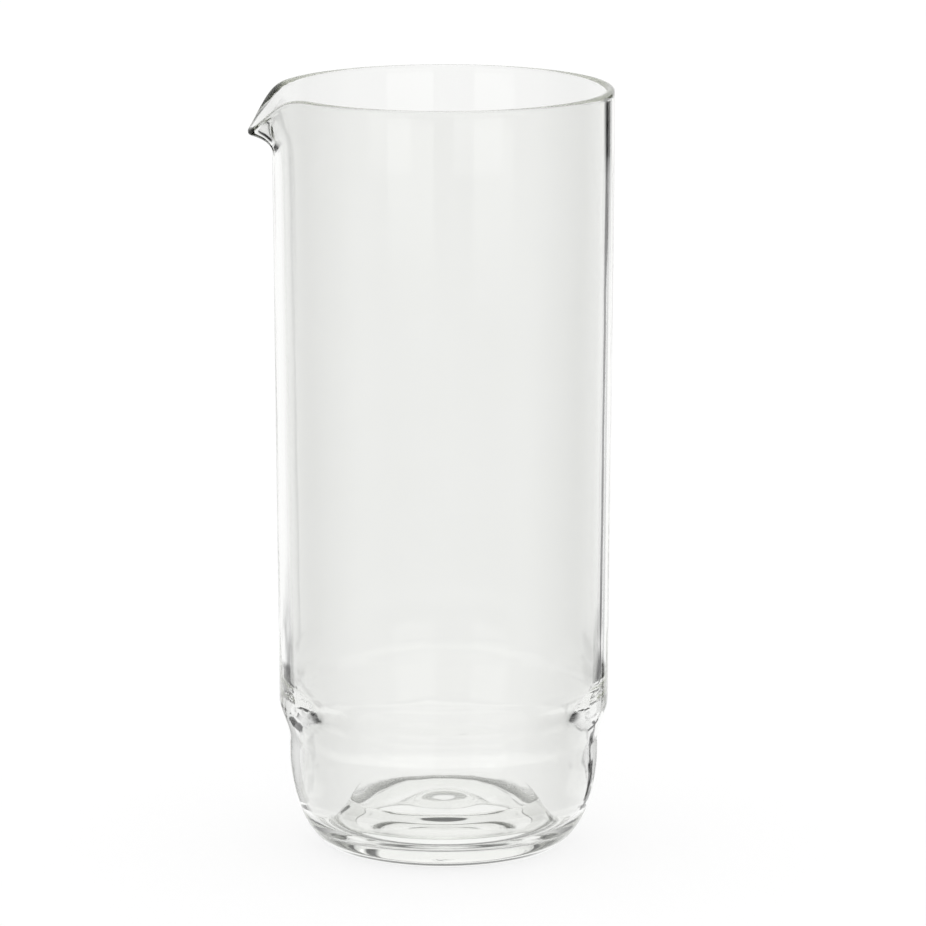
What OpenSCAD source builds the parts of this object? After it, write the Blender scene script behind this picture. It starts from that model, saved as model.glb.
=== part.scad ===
// Bistro carafe: one piece of clear glass with a stepped foot and a pinched pouring lip.
// The glass is divided at flat seams into the zones a glassmaker names:
// base, foot, body, rim and spout. The spout points along -X and the table is at z = 0.

/* [Body] */
// Height from the table to the top of the brim
carafe_h = 215; // [170:1:260]
// Outside diameter at the brim
rim_d = 95; // [80:0.5:115]
// Outside diameter at the shoulder, just above the step
shoulder_d = 92.5; // [88:0.5:112]
// Glass thickness at the brim
rim_wall = 2.4; // [1.6:0.1:3.6]
// Glass thickness at the shoulder
shoulder_wall = 3; // [2:0.1:4.5]

/* [Foot] */
// Outside diameter of the foot, under the step
foot_d = 87.2; // [76:0.2:92]
// Glass thickness of the foot
foot_wall = 4; // [2.5:0.1:6]
// Height of the bottom of the step above the table
step_z = 30.5; // [29:0.5:45]
// Height that the step takes to swell out to the shoulder
step_rise = 11.5; // [6:0.5:20]
// How much higher than the outside the inside starts to swell
inner_lag = 1.5; // [0:0.5:4]
// How much longer than the outside the inside takes to swell
inner_ease = 6.5; // [0:0.5:12]

/* [Base] */
// Height of the rounded heel
heel_h = 28; // [20:0.5:30]
// Outside diameter of the ring that the carafe stands on
rest_d = 58; // [55:0.5:70]
// Diameter of the hollow under the base
punt_d = 48; // [36:0.5:54]
// Depth of the hollow under the base
punt_depth = 8.5; // [3:0.5:9.5]
// Diameter of the button in the middle of that hollow
button_d = 28; // [12:0.5:34]
// Height of that button
button_h = 1.5; // [0.5:0.1:2.5]
// Height above the table of the channel round the inside floor
floor_z = 6.8; // [5.5:0.1:9]
// Width of the rounded corner between the wall and the channel
corner_w = 6.6; // [3:0.2:10]
// Height of that corner
corner_h = 12; // [5:0.5:13]
// Diameter of the flat rise in the middle of the inside floor
plateau_d = 50; // [36:0.5:56]
// Height of that rise above the channel
plateau_h = 9; // [4:0.5:10]

/* [Spout] */
// How far the tip of the lip stands out past the brim
spout_reach = 8.1; // [4:0.1:10]
// How far the tip of the lip dips below the brim
spout_dip = 10.4; // [5:0.1:11]
// Height of the band of glass that is drawn out into the spout
spout_depth = 17; // [14:0.5:26]
// Angle over which the nose of the spout is rounded
nose_angle = 2; // [1.5:0.1:5]

/* [Hidden] */
$fn = 180;

// Radii of the outside and the inside
rim_r = rim_d / 2;
shoulder_r = shoulder_d / 2;
foot_r = foot_d / 2;
rest_r = rest_d / 2;
punt_r = punt_d / 2;
button_r = button_d / 2;
plateau_r = plateau_d / 2;
foot_inner_r = foot_r - foot_wall;
shoulder_inner_r = shoulder_r - shoulder_wall;
rim_inner_r = rim_r - rim_wall;

// Heights of the steps and of the seams between the zones
base_top = floor_z + corner_h;
shoulder_z = step_z + step_rise;
inner_step_z = step_z + inner_lag;
inner_step_rise = step_rise + inner_ease;
foot_top = inner_step_z + inner_step_rise;
lip_centre_z = carafe_h - rim_wall / 2;
rim_z = lip_centre_z - spout_depth;

// Outside radius of the tapered wall at the seam between the foot and the body
foot_top_r = shoulder_r + (rim_r - shoulder_r) * (foot_top - shoulder_z) / (rim_z - shoulder_z);

// Steps along each curve of the profile
curve_steps = 20;

// Middle of the glass at the brim, and the angle at which the spout leaves the round
rim_mid_r = rim_r - rim_wall / 2;
spout_angle = acos(rim_mid_r / (rim_mid_r + spout_reach));
// Margin of plain round glass at each side of the spout
spout_margin = 1.5;
spout_half = spout_angle + spout_margin;
// How quickly the lip falls towards the tip, and how full the skirt under it is
dip_power = 1.6;
skirt_fullness = 0.36;

// Stations across the spout, and rows down its skin and over its lip; the lip's count is odd,
// so that each point of the outside has its partner on the inside
stations = 48;
skirt_rows = 14;
lip_rows = 9;
// Closer stations towards the nose
station_power = 1.5;
// Small step for slopes of the skin
slope_step = 0.01;

function smooth(x) = x * x * (3 - 2 * x);
function steps(count) = [for (i = [0:count]) i / count];
function unit(v) = v / norm(v);

// Outside radius of the heel at an angle around its curve, and the curve up to a height
function heel_point(a) = [rest_r + (foot_r - rest_r) * sin(a), heel_h * (1 - cos(a))];
function heel_angle(z) = acos(1 - min(z / heel_h, 1));
function heel_curve(z0, z1) =
    let (a0 = heel_angle(z0), a1 = heel_angle(z1))
    [for (t = steps(curve_steps)) heel_point(a0 + (a1 - a0) * t)];

// The swell from one radius to another, from a height z upwards
function step_curve(r0, r1, z, rise) =
    [for (t = steps(curve_steps)) [r0 + (r1 - r0) * smooth(t), z + rise * t]];

function reversed(list) = [for (i = [len(list) - 1:-1:0]) list[i]];

// Underside: a dome with a low button in it, from its middle to the ring
function button_drop(r) = button_h * (1 - smooth(min(r / button_r, 1)));
function punt_curve() =
    [for (t = steps(curve_steps))
        let (r = punt_r * sin(90 * t))
        [r, punt_depth * cos(90 * t) - button_drop(r)]];

// Inside: the corner from the wall down to the channel, then the bank up to the flat rise
function floor_curve() =
    let (channel_r = foot_inner_r - corner_w)
    concat(
        [for (t = steps(curve_steps))
            [foot_inner_r - corner_w * (1 - cos(90 * t)), base_top - corner_h * sin(90 * t)]],
        [for (t = steps(curve_steps)) if (t > 0)
            [channel_r + (plateau_r - channel_r) * t, floor_z + plateau_h * smooth(t)]],
        [[0, floor_z + plateau_h]]
    );

module clear_glass()
{
    color([0.88, 0.91, 0.89, 0.45]) children();
}

module base()
{
    clear_glass()
        rotate_extrude()
            polygon(concat(punt_curve(), heel_curve(0, base_top), floor_curve()));
}

module foot()
{
    inner = concat(
        [[foot_inner_r, base_top]],
        step_curve(foot_inner_r, shoulder_inner_r, inner_step_z, inner_step_rise)
    );
    clear_glass()
        rotate_extrude()
            polygon(concat(
                heel_curve(base_top, heel_h),
                step_curve(foot_r, shoulder_r, step_z, step_rise),
                [[foot_top_r, foot_top]],
                reversed(inner)
            ));
}

module body()
{
    clear_glass()
        rotate_extrude()
            polygon([
                [foot_top_r, foot_top],
                [rim_r, rim_z],
                [rim_inner_r, rim_z],
                [shoulder_inner_r, foot_top]
            ]);
}

// The brim is fire-polished to a half round, and runs from one side of the spout to the other
module rim()
{
    clear_glass()
        rotate([0, 0, 180 + spout_half])
            rotate_extrude(angle = 360 - 2 * spout_half) {
                translate([rim_inner_r, rim_z])
                    square([rim_wall, spout_depth]);
                translate([rim_mid_r, lip_centre_z])
                    circle(d = rim_wall);
            }
}

// In plan the lip follows the two lines that touch the round and meet at the tip, with a soft nose
function soft_angle(a) =
    let (share = nose_angle / spout_angle)
    min(sqrt(a * a * (1 - share * share) + nose_angle * nose_angle), spout_angle);
function lip_r(a) = rim_mid_r / cos(spout_angle - soft_angle(a));
function lip_share(a) = tan(spout_angle - soft_angle(a)) / tan(spout_angle);
function lip_dip(a) = spout_dip * smooth(pow(lip_share(a), dip_power));

// Middle of the glass at an angle from the tip; u is 0 at the lip and 1 where the spout grows from the body
function skin(a, u) =
    let (
        dip = lip_dip(a),
        r = rim_mid_r + (lip_r(a) - rim_mid_r) * (1 - u) * (1 - u),
        middle = spout_depth / 2 + skirt_fullness * dip,
        depth = dip * (1 - u) * (1 - u) + 2 * middle * u * (1 - u) + spout_depth * u * u
    )
    [-r * cos(a), -r * sin(a), lip_centre_z - depth];

function skin_along(a, u) = skin(a + slope_step, u) - skin(a - slope_step, u);
function skin_down(a, u) = skin(a, u + slope_step) - skin(a, u - slope_step);
function skin_out(a, u) = unit(cross(skin_down(a, u), skin_along(a, u)));

// One closed section of the spout: up the outside, over the lip and down the inside
function section(a) =
    let (
        half = rim_wall / 2,
        rows = [for (t = steps(skirt_rows)) if (t > 0) t],
        tip = skin(a, 0),
        out = skin_out(a, 0),
        up = -unit(skin_down(a, 0))
    )
    concat(
        [for (u = reversed(rows)) skin(a, u) + half * skin_out(a, u)],
        [for (t = steps(lip_rows)) tip + half * (cos(180 * t) * out + sin(180 * t) * up)],
        [for (u = rows) skin(a, u) - half * skin_out(a, u)]
    );

function station_angle(x) = spout_half * sign(x) * pow(abs(x), station_power);

module spout()
{
    sections = [for (t = steps(stations)) section(station_angle(2 * t - 1))];
    size = len(sections[0]);
    points = [for (s = sections) each s];
    sides = [
        for (i = [0:stations - 1], j = [0:size - 1])
            let (k = (j + 1) % size, here = i * size, next = here + size)
            each [[here + j, here + k, next + k], [here + j, next + k, next + j]]
    ];
    first_end = [
        for (j = [0:size / 2 - 2])
            let (m = size - 1 - j)
            each [[j, m, m - 1], [j, m - 1, j + 1]]
    ];
    last_end = [for (f = first_end) [for (p = reversed(f)) p + stations * size]];
    clear_glass()
        polyhedron(points = points, faces = concat(sides, first_end, last_end), convexity = 4);
}

base();
foot();
body();
rim();
spout();
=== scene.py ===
# %% [markdown]
# # A bistro carafe in clear glass
# A carafe is a good first lesson in glass: one outline turned about an axis, one pinch for the
# spout, and then the light does the rest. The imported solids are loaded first, and everything
# below is made in their frame: metres, the table at z = 0, the axis along Z, the spout along -X.

# %% Load the frame
import math

import bpy
import numpy as np
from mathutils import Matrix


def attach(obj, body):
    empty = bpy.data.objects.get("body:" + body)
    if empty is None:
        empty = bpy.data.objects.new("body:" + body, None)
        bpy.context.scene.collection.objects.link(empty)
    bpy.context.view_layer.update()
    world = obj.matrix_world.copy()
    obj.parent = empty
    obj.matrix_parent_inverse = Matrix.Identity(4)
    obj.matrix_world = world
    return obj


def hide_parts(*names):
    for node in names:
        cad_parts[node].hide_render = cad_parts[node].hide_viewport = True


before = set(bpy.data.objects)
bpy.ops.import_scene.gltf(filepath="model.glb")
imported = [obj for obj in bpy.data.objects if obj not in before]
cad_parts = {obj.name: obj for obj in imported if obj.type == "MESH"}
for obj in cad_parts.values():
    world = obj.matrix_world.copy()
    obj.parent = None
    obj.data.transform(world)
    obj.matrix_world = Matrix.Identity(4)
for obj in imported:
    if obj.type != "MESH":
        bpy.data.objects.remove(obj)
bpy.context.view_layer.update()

# %% [markdown]
# ## The sizes
# The real carafe holds about a litre. These are the sizes that a glassmaker would write on the
# drawing, in millimetres, and they are the ones that the solids have. The wall is 2.4 mm thick
# at the brim and thickens to 4 mm at the foot, and that growth is what bends the light there.

# %% Sizes
MM = 0.001
CARAFE_H = 215.0
RIM_R = 47.5
SHOULDER_R = 46.25
FOOT_R = 43.6
RIM_WALL = 2.4
SHOULDER_WALL = 3.0
FOOT_WALL = 4.0
STEP_Z = 30.5
STEP_RISE = 11.5
INNER_STEP_Z = 32.0
INNER_STEP_RISE = 18.0
HEEL_H = 28.0
REST_R = 29.0
PUNT_R = 24.0
PUNT_DEPTH = 8.5
BUTTON_R = 14.0
BUTTON_H = 1.5
CHANNEL_Z = 6.8
CORNER_W = 6.6
CORNER_H = 12.0
PLATEAU_R = 25.0
PLATEAU_H = 9.0
SPOUT_REACH = 8.1
SPOUT_DIP = 10.4
SPOUT_DEPTH = 17.0
NOSE_ANGLE = math.radians(2.0)

LIP_R = RIM_WALL / 2
LIP_CENTRE_Z = CARAFE_H - LIP_R
RIM_MID_R = RIM_R - LIP_R
RIM_INNER_R = RIM_R - RIM_WALL
RIM_Z = LIP_CENTRE_Z - SPOUT_DEPTH
SHOULDER_Z = STEP_Z + STEP_RISE
SHOULDER_INNER_R = SHOULDER_R - SHOULDER_WALL
INNER_TOP_Z = INNER_STEP_Z + INNER_STEP_RISE
FOOT_INNER_R = FOOT_R - FOOT_WALL
CHANNEL_R = FOOT_INNER_R - CORNER_W
CORNER_TOP = CHANNEL_Z + CORNER_H
PLATEAU_Z = CHANNEL_Z + PLATEAU_H
FLOOR_THICK = PLATEAU_Z - PUNT_DEPTH + BUTTON_H

print("wall", RIM_WALL, "to", FOOT_WALL, "mm; floor", FLOOR_THICK, "mm thick in its middle")

# %% [markdown]
# ## The outline
# Glass this shape is blown into a mould that turns, so half of its section says it all. The
# outline starts on the axis under the base, runs out over the hollow and the standing ring, up
# the heel, the step and the wall, over the fire-polished brim, and back down the inside to the
# flat rise in the floor. Curves come from formulas, so that their steps can be made finer.

# %% Curves of the section
QUARTER = math.pi / 2
HEEL_STEPS = 26
SWELL_STEPS = 20
LIP_STEPS = 12
FLOOR_STEPS = 18


def shares(count):
    return [i / count for i in range(count + 1)]


def smooth(x):
    return x * x * (3 - 2 * x)


def line(start, end, count):
    (r0, z0), (r1, z1) = start, end
    return [(r0 + (r1 - r0) * t, z0 + (z1 - z0) * t) for t in shares(count)]


def punt_curve():
    points = []
    for t in shares(HEEL_STEPS):
        r = PUNT_R * math.sin(QUARTER * t)
        drop = BUTTON_H * (1 - smooth(min(r / BUTTON_R, 1)))
        points.append((r, PUNT_DEPTH * math.cos(QUARTER * t) - drop))
    return points


def heel_curve():
    spread = FOOT_R - REST_R
    return [
        (REST_R + spread * math.sin(QUARTER * t), HEEL_H * (1 - math.cos(QUARTER * t)))
        for t in shares(HEEL_STEPS)
    ]


def step_curve(low_r, high_r, z, rise):
    return [(low_r + (high_r - low_r) * smooth(t), z + rise * t) for t in shares(SWELL_STEPS)]


def lip_curve():
    return [
        (RIM_MID_R + LIP_R * math.cos(math.pi * t), LIP_CENTRE_Z + LIP_R * math.sin(math.pi * t))
        for t in shares(LIP_STEPS)
    ]


def corner_curve():
    points = []
    for t in shares(FLOOR_STEPS):
        r = FOOT_INNER_R - CORNER_W * (1 - math.cos(QUARTER * t))
        points.append((r, CORNER_TOP - CORNER_H * math.sin(QUARTER * t)))
    return points


def bank_curve():
    width = PLATEAU_R - CHANNEL_R
    return [(CHANNEL_R + width * t, CHANNEL_Z + PLATEAU_H * smooth(t)) for t in shares(FLOOR_STEPS)]


print("standing ring", 2 * REST_R, "mm across; heel", HEEL_H, "mm high")

# %% [markdown]
# ## Joining the curves
# The curves meet end to end, so where two of them share a point only one is kept. Straight runs
# get points as well: the spout and the waves in the glass are made later by moving them.

# %% Half section of the glass
WALL_STEPS = 30
BAND_STEPS = 15
FOOT_STEPS = 6
PLATEAU_STEPS = 12
SAME_POINT = 1e-6


def half_section():
    outside = punt_curve() + heel_curve() + step_curve(FOOT_R, SHOULDER_R, STEP_Z, STEP_RISE)
    outside += line((SHOULDER_R, SHOULDER_Z), (RIM_R, RIM_Z), WALL_STEPS)
    outside += line((RIM_R, RIM_Z), (RIM_R, LIP_CENTRE_Z), BAND_STEPS)
    inside = line((RIM_INNER_R, LIP_CENTRE_Z), (RIM_INNER_R, RIM_Z), BAND_STEPS)
    inside += line((RIM_INNER_R, RIM_Z), (SHOULDER_INNER_R, INNER_TOP_Z), WALL_STEPS)
    inside += step_curve(FOOT_INNER_R, SHOULDER_INNER_R, INNER_STEP_Z, INNER_STEP_RISE)[::-1]
    inside += line((FOOT_INNER_R, INNER_STEP_Z), (FOOT_INNER_R, CORNER_TOP), FOOT_STEPS)
    inside += corner_curve() + bank_curve()
    inside += line((PLATEAU_R, PLATEAU_Z), (0, PLATEAU_Z), PLATEAU_STEPS)
    points = []
    for point in outside + lip_curve() + inside:
        if not points or math.dist(point, points[-1]) > SAME_POINT:
            points.append(point)
    return points


section = half_section()
print("half section:", len(section), "points")

# %% [markdown]
# ## Turning the glass
# A single vertex is extruded along the outline and the line is spun once round the axis, which
# is how the glass itself was turned. The first and last points lie on the axis, so they merge
# into two poles, and the skin closes with no seam.

# %% Spin the outline into a vessel
TURN_STEPS = 360
MERGE_GAP = 1e-6


def turned_vessel(points):
    bpy.ops.object.select_all(action="DESELECT")
    bpy.ops.mesh.primitive_circle_add(vertices=3, radius=RIM_R * MM)
    piece = bpy.context.object
    piece.name = "carafe_glass"
    bpy.ops.object.mode_set(mode="EDIT")
    bpy.ops.mesh.select_all(action="SELECT")
    bpy.ops.mesh.merge(type="CENTER")
    place = (0.0, 0.0)
    for index, (r, z) in enumerate(points):
        move = ((r - place[0]) * MM, 0.0, (z - place[1]) * MM)
        if index == 0:
            bpy.ops.transform.translate(value=move)
        else:
            bpy.ops.mesh.extrude_region_move(TRANSFORM_OT_translate={"value": move})
        place = (r, z)
    bpy.ops.mesh.select_all(action="SELECT")
    bpy.ops.mesh.spin(steps=TURN_STEPS, angle=math.tau, center=(0, 0, 0), axis=(0, 0, 1))
    bpy.ops.mesh.select_all(action="SELECT")
    bpy.ops.mesh.remove_doubles(threshold=MERGE_GAP)
    bpy.ops.mesh.normals_make_consistent(inside=False)
    bpy.ops.object.mode_set(mode="OBJECT")
    bpy.ops.object.shade_smooth()
    return piece


carafe = turned_vessel(section)
print("turned:", len(carafe.data.vertices), "vertices,", len(carafe.data.polygons), "faces")

# %% [markdown]
# ## The shape of the spout
# While the brim is hot, a tool pulls it outwards and down at one place. Seen from above, the lip
# then follows the two straight lines that leave the round brim and meet at the tip. Below the lip
# the glass runs back into the wall along a soft curve, which is given here for any angle from the
# tip and any share of the way down.

# %% Skin of the spout
SPOUT_ANGLE = math.acos(RIM_MID_R / (RIM_MID_R + SPOUT_REACH))
DIP_POWER = 1.6
SKIRT_FULLNESS = 0.36


def lip_shape(angle):
    share = NOSE_ANGLE / SPOUT_ANGLE
    soft = np.sqrt(angle**2 * (1 - share**2) + NOSE_ANGLE**2)
    left = SPOUT_ANGLE - np.minimum(soft, SPOUT_ANGLE)
    reach = np.tan(left) / math.tan(SPOUT_ANGLE)
    return RIM_MID_R / np.cos(left), SPOUT_DIP * smooth(reach**DIP_POWER)


def skin(angle, u):
    lip_r, dip = lip_shape(angle)
    r = RIM_MID_R + (lip_r - RIM_MID_R) * (1 - u) ** 2
    middle = SPOUT_DEPTH / 2 + SKIRT_FULLNESS * dip
    depth = dip * (1 - u) ** 2 + 2 * middle * u * (1 - u) + SPOUT_DEPTH * u**2
    return np.stack([-r * np.cos(angle), -r * np.sin(angle), LIP_CENTRE_Z - depth], axis=-1)


print("spout:", round(2 * math.degrees(SPOUT_ANGLE), 1), "degrees wide")

# %% [markdown]
# ## Pinching it
# The points of the brim's band are moved onto that skin. First they are gathered towards the
# spout, so that it has finer faces, and then each keeps its place in the thickness of the glass:
# it stands off the skin by as much as it stood off the middle of the round wall.

# %% Draw out the pouring lip
GATHER = 0.55
SLOPE_STEP = 1e-4


def unit(vectors):
    return vectors / np.linalg.norm(vectors, axis=-1, keepdims=True)


def read_points(piece):
    flat = np.empty(len(piece.data.vertices) * 3)
    piece.data.vertices.foreach_get("co", flat)
    return flat.reshape(-1, 3) / MM


def write_points(piece, points):
    piece.data.vertices.foreach_set("co", (points * MM).ravel())
    piece.data.update()


def pinch_spout(piece):
    points = read_points(piece)
    r = np.hypot(points[:, 0], points[:, 1])
    angle = np.arctan2(-points[:, 1], -points[:, 0])
    angle = angle - GATHER * np.sin(angle)
    points[:, 0] = -r * np.cos(angle)
    points[:, 1] = -r * np.sin(angle)
    band = (points[:, 2] >= RIM_Z - SAME_POINT) & (np.abs(angle) < SPOUT_ANGLE)
    a, z, out = angle[band], points[band, 2], r[band] - RIM_MID_R
    u = np.clip((LIP_CENTRE_Z - z) / SPOUT_DEPTH, 0, 1)
    rise = np.maximum(z - LIP_CENTRE_Z, 0)
    along = skin(a + SLOPE_STEP, u) - skin(a - SLOPE_STEP, u)
    down = unit(skin(a, u + SLOPE_STEP) - skin(a, u - SLOPE_STEP))
    outward = unit(np.cross(down, along))
    points[band] = skin(a, u) + out[:, None] * outward - rise[:, None] * down
    write_points(piece, points)
    print("spout:", int(band.sum()), "points moved, tip at x =", round(points[:, 0].min(), 2), "mm")


pinch_spout(carafe)

# %% [markdown]
# ## Waves in the glass
# Blown glass is never quite even. The mould leaves the outside smooth, but the inside was shaped
# by air alone, so a Displace modifier with a soft cloud texture moves it by less than a tenth of a
# millimetre. A vertex group keeps the waves inside: full at the foot, faint up the wall and on
# the floor, and gone at the brim.

# %% Wave the inside
WAVE_SIZE = 0.007
WAVE_DEPTH = 0.00015
FLOOR_SHARE = 0.03
WALL_SHARE = 0.12
CALM_Z = 75.0
RING_FADE = 0.5
FLOOR_FADE = 4.0
LEAST_WEIGHT = 0.01


def inside_weights(piece):
    points = read_points(piece)
    normals = np.empty(len(piece.data.vertices) * 3)
    piece.data.vertices.foreach_get("normal", normals)
    normals = normals.reshape(-1, 3)
    r = np.maximum(np.hypot(points[:, 0], points[:, 1]), SAME_POINT)
    inward = -(points * normals)[:, :2].sum(axis=1) / r
    facing = np.clip(np.maximum(inward, normals[:, 2]), 0, 1)
    z = points[:, 2]
    above_ring = np.clip((z - CHANNEL_Z + RING_FADE) / RING_FADE, 0, 1)
    height = np.clip((z - INNER_TOP_Z) / (CALM_Z - INNER_TOP_Z), 0, 1)
    floor = np.clip((CORNER_TOP + FLOOR_FADE / 2 - z) / FLOOR_FADE, 0, 1)
    below_lip = np.clip((RIM_Z - z) / SPOUT_DEPTH, 0, 1)
    share = 1 - (1 - WALL_SHARE) * smooth(height) - (1 - FLOOR_SHARE) * smooth(floor)
    return facing * above_ring * below_lip * share


def wave_inside(piece):
    group = piece.vertex_groups.new(name="inside")
    for index, weight in enumerate(inside_weights(piece)):
        if weight > LEAST_WEIGHT:
            group.add([index], weight, "REPLACE")
    texture = bpy.data.textures.new("glass_waves", "CLOUDS")
    texture.noise_scale = WAVE_SIZE
    waves = piece.modifiers.new("waves", "DISPLACE")
    waves.texture = texture
    waves.texture_coords = "LOCAL"
    waves.strength = WAVE_DEPTH
    waves.mid_level = 0.5
    waves.vertex_group = "inside"
    bpy.ops.object.select_all(action="DESELECT")
    piece.select_set(True)
    bpy.context.view_layer.objects.active = piece
    bpy.ops.object.modifier_apply(modifier="waves")


wave_inside(carafe)
print("waves:", WAVE_SIZE / MM, "mm long, moved by up to", WAVE_DEPTH / MM / 2, "mm")

# %% [markdown]
# ## The surface of the glass
# A glass surface has its own small faults. The ring that it stands on is scuffed by tables, so its
# roughness rises close to z = 0. Fine striae, left by the mould, run up the wall and bend the light
# a little, and the tint is not quite even. All three are noises on Object coordinates.

# %% Faults of the surface
SCUFF_SCALE = 900.0
SCUFF_DETAIL = 4.0
SCUFF_HEIGHT = 0.0008
SCUFF_ROUGHNESS = 0.5
TINT_SCALE = 40.0
TINT_DETAIL = 2.0
TINT_DEEPER = (0.974, 0.978, 0.965, 1)
TINT_PALER = (0.990, 0.993, 0.984, 1)
STRIAE_STRETCH = (1.0, 1.0, 0.12)
STRIAE_SCALE = 160.0
STRIAE_DETAIL = 1.0
STRIAE_STRENGTH = 0.05
STRIAE_DEPTH = 0.0004


def noise_on(tree, vector, scale, detail):
    noise = tree.nodes.new("ShaderNodeTexNoise")
    noise.inputs["Scale"].default_value = scale
    noise.inputs["Detail"].default_value = detail
    tree.links.new(vector, noise.inputs["Vector"])
    return noise.outputs["Fac"]


def scuffed_ring(tree, place):
    split = tree.nodes.new("ShaderNodeSeparateXYZ")
    tree.links.new(place, split.inputs[0])
    ring = tree.nodes.new("ShaderNodeMapRange")
    ring.inputs["From Min"].default_value = SCUFF_HEIGHT
    ring.inputs["From Max"].default_value = 0.0
    ring.inputs["To Max"].default_value = SCUFF_ROUGHNESS
    tree.links.new(split.outputs["Z"], ring.inputs["Value"])
    wear = tree.nodes.new("ShaderNodeMath")
    wear.operation = "MULTIPLY"
    tree.links.new(noise_on(tree, place, SCUFF_SCALE, SCUFF_DETAIL), wear.inputs[0])
    tree.links.new(ring.outputs["Result"], wear.inputs[1])
    return wear.outputs[0]


def uneven_tint(tree, place):
    shade = tree.nodes.new("ShaderNodeMix")
    shade.data_type = "RGBA"
    shade.inputs[6].default_value = TINT_DEEPER
    shade.inputs[7].default_value = TINT_PALER
    tree.links.new(noise_on(tree, place, TINT_SCALE, TINT_DETAIL), shade.inputs[0])
    return shade.outputs[2]


def mould_striae(tree, place):
    stretch = tree.nodes.new("ShaderNodeMapping")
    stretch.inputs["Scale"].default_value = STRIAE_STRETCH
    tree.links.new(place, stretch.inputs["Vector"])
    bump = tree.nodes.new("ShaderNodeBump")
    bump.inputs["Strength"].default_value = STRIAE_STRENGTH
    bump.inputs["Distance"].default_value = STRIAE_DEPTH
    striae = noise_on(tree, stretch.outputs["Vector"], STRIAE_SCALE, STRIAE_DETAIL)
    tree.links.new(striae, bump.inputs["Height"])
    return bump.outputs["Normal"]


print("surface: scuffs under", SCUFF_HEIGHT / MM, "mm, striae", STRIAE_DEPTH / MM, "mm deep")

# %% [markdown]
# ## Clear glass
# Clear soda glass lets nearly everything through, with a hint of grey-green. A little of that is in
# the surface, and more is in the volume, where it grows with the way that the light has gone: that
# is why thick glass looks greener than thin. Too much of it would darken the brim, which shows
# light that has run all the way up or down inside the wall.

# %% Glass finish
GLASS_IOR = 1.5
THICK_COLOUR = (0.80, 0.812, 0.76, 1)
THICK_DENSITY = 4.0


def glass_material():
    material = bpy.data.materials.new("clear_glass")
    material.use_nodes = True
    tree = material.node_tree
    shader = tree.nodes["Principled BSDF"]
    shader.inputs["IOR"].default_value = GLASS_IOR
    shader.inputs["Transmission Weight"].default_value = 1.0
    place = tree.nodes.new("ShaderNodeTexCoord").outputs["Object"]
    tree.links.new(scuffed_ring(tree, place), shader.inputs["Roughness"])
    tree.links.new(uneven_tint(tree, place), shader.inputs["Base Color"])
    tree.links.new(mould_striae(tree, place), shader.inputs["Normal"])
    volume = tree.nodes.new("ShaderNodeVolumeAbsorption")
    volume.inputs["Color"].default_value = THICK_COLOUR
    volume.inputs["Density"].default_value = THICK_DENSITY
    tree.links.new(volume.outputs["Volume"], tree.nodes["Material Output"].inputs["Volume"])
    return material


carafe.data.materials.clear()
carafe.data.materials.append(glass_material())
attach(carafe, "root")
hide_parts("base", "foot", "body", "rim", "spout")
print("finish:", carafe.data.materials[0].name)

# %% [markdown]
# ## Cards round the glass
# Glass shows what stands around it, so lighting it means placing bright and dark cards. Here the
# cards are part of the world: it works out the heading and the height of a ray, and a card is a
# soft-edged patch of those two. Each new card lies over the ones before it.

# %% A card
def new_value(tree, operation, first, second=None, third=None):
    node = tree.nodes.new("ShaderNodeMath")
    node.operation = operation
    for socket, value in zip(node.inputs, (first, second, third)):
        if value is None:
            continue
        if isinstance(value, (int, float)):
            socket.default_value = value
        else:
            tree.links.new(value, socket)
    return node.outputs[0]


def edge(tree, value, start, end):
    node = tree.nodes.new("ShaderNodeMapRange")
    node.interpolation_type = "SMOOTHSTEP"
    tree.links.new(value, node.inputs["Value"])
    node.inputs["From Min"].default_value = start
    node.inputs["From Max"].default_value = end
    return node.outputs["Result"]


def blended(tree, below, above, mask):
    gap = new_value(tree, "SUBTRACT", above, below)
    return new_value(tree, "MULTIPLY_ADD", gap, mask, below)


def card(tree, heading, height, below, centre, half, side_soft, low, high, end_soft, level):
    away = new_value(tree, "SUBTRACT", heading, centre)
    away = new_value(tree, "WRAP", away, 180.0, -180.0)
    away = new_value(tree, "ABSOLUTE", away)
    mask = edge(tree, away, half + side_soft, half - side_soft)
    mask = new_value(tree, "MULTIPLY", mask, edge(tree, height, low - end_soft, low + end_soft))
    mask = new_value(tree, "MULTIPLY", mask, edge(tree, height, high + end_soft, high - end_soft))
    return blended(tree, below, level, mask)


print("cards: soft-edged patches of heading and height")

# %% [markdown]
# ## Where the cards stand
# Rays that go straight through the glass meet white all round, with narrow dark gaps that draw the
# lines along the walls, and wings that brighten its edges. Rays that were reflected on the way meet
# a darker room, so that the front reflects little: a white backdrop behind, dark cards low at its
# sides for the streaks at the step and the spout, a gap at the right for the black line under the
# brim, and two windows at the camera's side.

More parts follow.
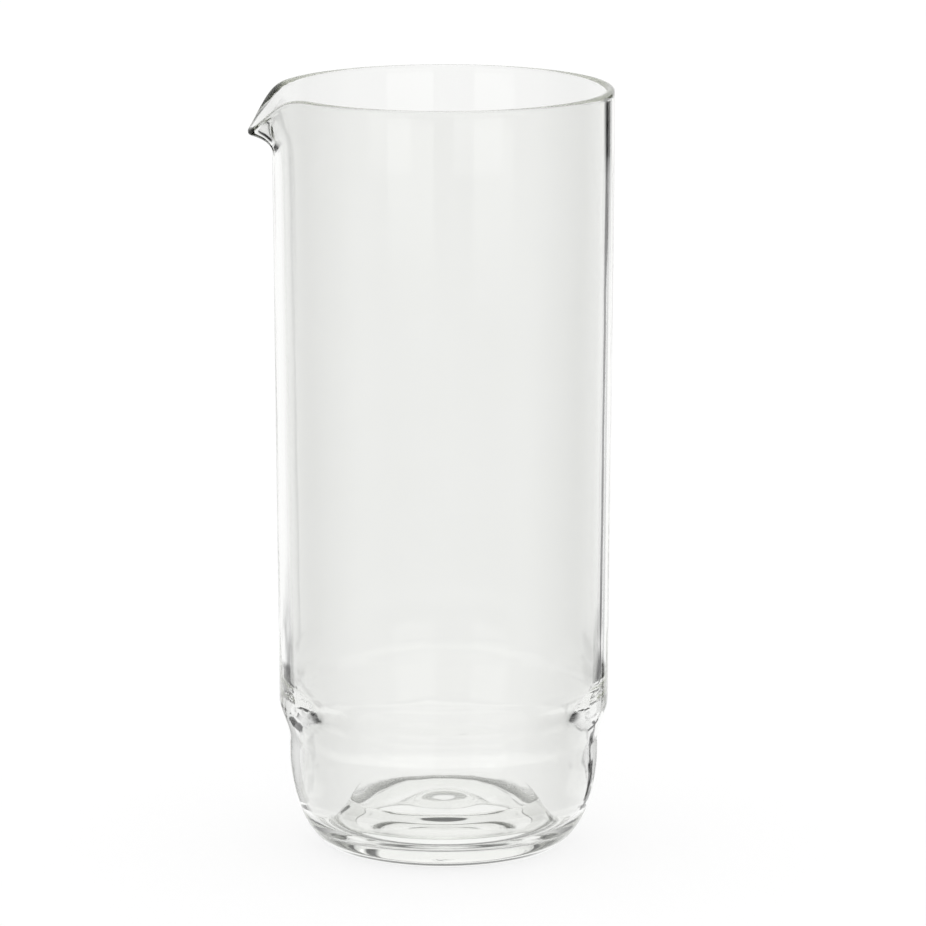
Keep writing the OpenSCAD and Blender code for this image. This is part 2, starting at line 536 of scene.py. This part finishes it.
# %% Cards of the studio
# Each card: heading, half width and its softness, lowest, highest and their softness, level.
# All but the level are in degrees. Headings run from +Y towards +X, and the camera looks along 8.
WINGS = [
    (54.0, 10.0, 1.5, -20.0, -10.0, 1.5, 1.4),
    (-46.0, 11.0, 1.5, -20.0, -10.0, 1.5, 1.4),
    (8.0, 40.0, 10.0, -6.0, 8.0, 1.0, 1.07),
]
GAPS = [
    (37.5, 4.0, 2.0, -22.0, 3.0, 2.0, 0.02),
    (-30.5, 3.0, 0.8, -18.0, 3.0, 0.8, 0.6),
]
CAMERA_SIDE = [
    (188.0, 62.0, 24.0, -95.0, 95.0, 3.0, 0.4),
    (188.0, 62.0, 24.0, -95.0, -26.0, 3.0, 0.1),
    (188.0, 62.0, 24.0, -18.0, -2.0, 2.0, 0.15),
]
BACKDROP = [
    (8.0, 52.0, 24.0, -95.0, 95.0, 3.0, 1.0),
    (-40.0, 28.0, 8.0, -95.0, -35.0, 3.0, 0.03),
    (56.0, 28.0, 8.0, -95.0, -35.0, 3.0, 0.03),
    (-22.0, 14.0, 1.0, -24.0, -13.8, 0.4, 0.03),
    (38.0, 14.0, 1.0, -17.0, -13.8, 0.4, 0.03),
    (38.5, 2.6, 1.2, -22.0, 3.0, 1.2, 0.0),
    (38.5, 7.5, 1.2, -9.5, 3.0, 1.2, 0.0),
]
WINDOWS = [
    (164.0, 17.0, 0.8, -8.6, 30.0, 0.8, 0.75),
    (225.0, 15.0, 0.8, -8.6, 30.0, 0.8, 0.75),
]
OPEN_LEVEL = 1.0
ROOM_LEVEL = 0.05
print("cards:", len(WINGS + GAPS), "straight on,", len(CAMERA_SIDE + BACKDROP + WINDOWS), "mirrored")

# %% [markdown]
# ## The world
# Light Path tells the rays apart. Some light is caught in the wall and guided along it by dozens of
# reflections: it makes the brim of a real glass glow. Such rays find a white room, unless they rise
# steeply, and that keeps the dark lines in the base. The camera itself sees plain white.

# %% World
GUIDED_FROM = 40.0
GUIDED_LEVEL = 1.0
STEEP_LEVEL = 0.05
STEEP_RISE = (20.0, 50.0)


def layered(tree, heading, height, level, cards):
    for values in cards:
        level = card(tree, heading, height, level, *values)
    return level


def studio_world():
    world = bpy.data.worlds.new("studio")
    bpy.context.scene.world = world
    world.use_nodes = True
    tree = world.node_tree
    tree.nodes.clear()
    place = tree.nodes.new("ShaderNodeTexCoord")
    split = tree.nodes.new("ShaderNodeSeparateXYZ")
    tree.links.new(place.outputs["Generated"], split.inputs[0])
    x, y, z = split.outputs
    heading = new_value(tree, "DEGREES", new_value(tree, "ARCTAN2", x, y))
    height = new_value(tree, "DEGREES", new_value(tree, "ARCSINE", z))
    seen = layered(tree, heading, height, OPEN_LEVEL, WINGS + GAPS)
    mirrored = layered(tree, heading, height, ROOM_LEVEL, CAMERA_SIDE + BACKDROP + WINDOWS)
    path = tree.nodes.new("ShaderNodeLightPath")
    reflections = path.outputs["Glossy Depth"]
    steep = edge(tree, height, *STEEP_RISE)
    guided = new_value(tree, "MULTIPLY_ADD", steep, STEEP_LEVEL - GUIDED_LEVEL, GUIDED_LEVEL)
    deep = new_value(tree, "GREATER_THAN", reflections, GUIDED_FROM)
    mirrored = blended(tree, mirrored, guided, deep)
    level = blended(tree, seen, mirrored, new_value(tree, "MINIMUM", reflections, 1.0))
    level = new_value(tree, "MAXIMUM", level, path.outputs["Is Camera Ray"])
    background = tree.nodes.new("ShaderNodeBackground")
    background.inputs["Color"].default_value = (1, 1, 1, 1)
    tree.links.new(level, background.inputs["Strength"])
    output = tree.nodes.new("ShaderNodeOutputWorld")
    tree.links.new(background.outputs[0], output.inputs["Surface"])
    return world


print("world:", studio_world().name)

# %% [markdown]
# ## The table
# The floor is white paper. Most of its white is its own glow, so that it meets the backdrop without
# a line, and the rest is lit, so that the carafe still leaves its shadow. The glass doesn't see this
# paper, because its cards already stand for the table.

# %% Floor
FLOOR_HALF = 6.0
PAPER_COLOUR = (0.2, 0.2, 0.2, 1)
PAPER_GLOW = 0.82


def pale_floor():
    bpy.ops.object.select_all(action="DESELECT")
    bpy.ops.mesh.primitive_plane_add(size=2 * FLOOR_HALF)
    floor = bpy.context.object
    floor.name = "floor"
    material = bpy.data.materials.new("pale_floor")
    material.use_nodes = True
    nodes, links = material.node_tree.nodes, material.node_tree.links
    nodes.clear()
    paper = nodes.new("ShaderNodeBsdfDiffuse")
    paper.inputs["Color"].default_value = PAPER_COLOUR
    glow = nodes.new("ShaderNodeEmission")
    glow.inputs["Strength"].default_value = PAPER_GLOW
    both = nodes.new("ShaderNodeAddShader")
    output = nodes.new("ShaderNodeOutputMaterial")
    links.new(paper.outputs[0], both.inputs[0])
    links.new(glow.outputs[0], both.inputs[1])
    links.new(both.outputs[0], output.inputs["Surface"])
    floor.data.materials.append(material)
    floor.visible_transmission = False
    floor.visible_glossy = False
    floor.visible_diffuse = False
    return floor


print("floor:", pale_floor().name)

# %% [markdown]
# ## Under the standing ring
# Where the ring touches the table no light comes in, and the base shows that as a thin dark line. A
# disc just under the table, which only the glass sees, carries it: white, with a dark band under
# the ring.

# %% Contact shadow
SHADOW_R = 0.06
SHADOW_DROP = 0.0003
SHADOW_SIDES = 96
# Levels of the painted shadow along the disc's radius: white, then dark under the ring, then white
# again.
SHADOW_LEVELS = [(0.02, 1.0), (0.39, 1.0), (0.41, 0.2), (0.48, 0.2), (0.51, 1.0), (0.7, 1.0)]


def ring_ramp(tree):
    ramp = tree.nodes.new("ShaderNodeValToRGB")
    stops = ramp.color_ramp.elements
    for position, level in SHADOW_LEVELS:
        stop = stops.new(position)
        stop.color = (level, level, level, 1)
    stops.remove(stops[0])
    stops.remove(stops[-1])
    return ramp


# The disc glows in place of the table: white, with a painted shadow, a dark band under the standing
# ring.
def shadow_material():
    material = bpy.data.materials.new("painted_shadow_under_glass")
    material.use_nodes = True
    tree = material.node_tree
    tree.nodes.clear()
    place = tree.nodes.new("ShaderNodeTexCoord")
    away = tree.nodes.new("ShaderNodeVectorMath")
    away.operation = "LENGTH"
    tree.links.new(place.outputs["Object"], away.inputs[0])
    ramp = ring_ramp(tree)
    tree.links.new(new_value(tree, "DIVIDE", away.outputs["Value"], SHADOW_R), ramp.inputs["Fac"])
    glow = tree.nodes.new("ShaderNodeEmission")
    tree.links.new(ramp.outputs["Color"], glow.inputs["Color"])
    output = tree.nodes.new("ShaderNodeOutputMaterial")
    tree.links.new(glow.outputs[0], output.inputs["Surface"])
    return material


def contact_shadow():
    bpy.ops.object.select_all(action="DESELECT")
    bpy.ops.mesh.primitive_circle_add(
        vertices=SHADOW_SIDES, radius=SHADOW_R, fill_type="NGON", location=(0, 0, -SHADOW_DROP)
    )
    shadow = bpy.context.object
    shadow.name = "contact_shadow"
    shadow.data.materials.append(shadow_material())
    shadow.visible_camera = False
    shadow.visible_diffuse = False
    shadow.visible_shadow = False
    return shadow


print("shadow:", contact_shadow().name, SHADOW_R / MM, "mm in radius")

# %% [markdown]
# ## The camera
# A long lens from almost two metres away, a little above the brim, gives the photo's calm
# perspective. Light is followed through many bounces, because the wall guides it along, and the
# thick base turns it round several times before it leaves.

# %% Camera
CAMERA_TURN = math.radians(-8.0)
CAMERA_AWAY = 1.8
CAMERA_HEIGHT = 0.469
CAMERA_PITCH = 0.19743
CAMERA_YAW = 0.00302
CAMERA_LENS = 255.0
CAMERA_SENSOR = 36.0
BOUNCES = 256


def photo_camera():
    data = bpy.data.cameras.new("camera")
    data.lens = CAMERA_LENS
    data.sensor_width = CAMERA_SENSOR
    camera = bpy.data.objects.new("camera", data)
    bpy.context.scene.collection.objects.link(camera)
    camera.location = (
        CAMERA_AWAY * math.sin(CAMERA_TURN),
        -CAMERA_AWAY * math.cos(CAMERA_TURN),
        CAMERA_HEIGHT,
    )
    camera.rotation_euler = (math.pi / 2 - CAMERA_PITCH, 0, CAMERA_TURN - CAMERA_YAW)
    bpy.context.scene.camera = camera
    return camera


scene = bpy.context.scene
scene.view_settings.view_transform = "Standard"
scene.cycles.max_bounces = BOUNCES
scene.cycles.transmission_bounces = BOUNCES
scene.cycles.glossy_bounces = BOUNCES
print("camera:", CAMERA_LENS, "mm lens at", tuple(photo_camera().location))
